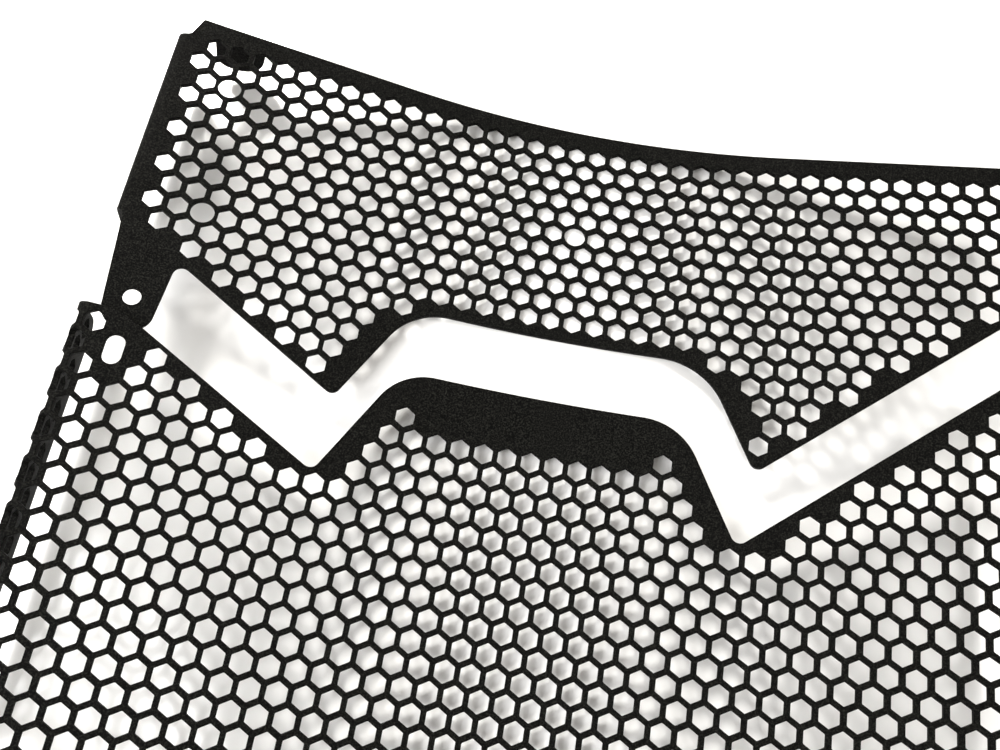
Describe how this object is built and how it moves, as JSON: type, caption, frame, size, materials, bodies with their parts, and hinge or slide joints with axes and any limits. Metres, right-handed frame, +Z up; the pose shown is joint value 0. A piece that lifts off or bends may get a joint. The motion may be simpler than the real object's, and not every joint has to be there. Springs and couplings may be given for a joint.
{
  "type": "motorcycle radiator guard",
  "caption": "Perforated black sheet radiator guard for a motorcycle: bent hexagon-mesh panels with folded-back side flanges, parted by a zig-zag gap, with a fixing tab.",
  "frame": {"origin": "on the surface the guard lies on, below the middle of its outer box", "axes": "+X across the guard along its rows of holes, +Y up the sheet from the lower to the upper panel, +Z up out of the concave front"},
  "size_m": [0.3244, 0.26, 0.0316],
  "materials": {
    "black_powder_coat": "fine-textured satin black powder coat"
  },
  "bodies": {
    "root": {"upper_panel": "black_powder_coat", "lower_panel": "black_powder_coat"}
  },
  "joints": []
}
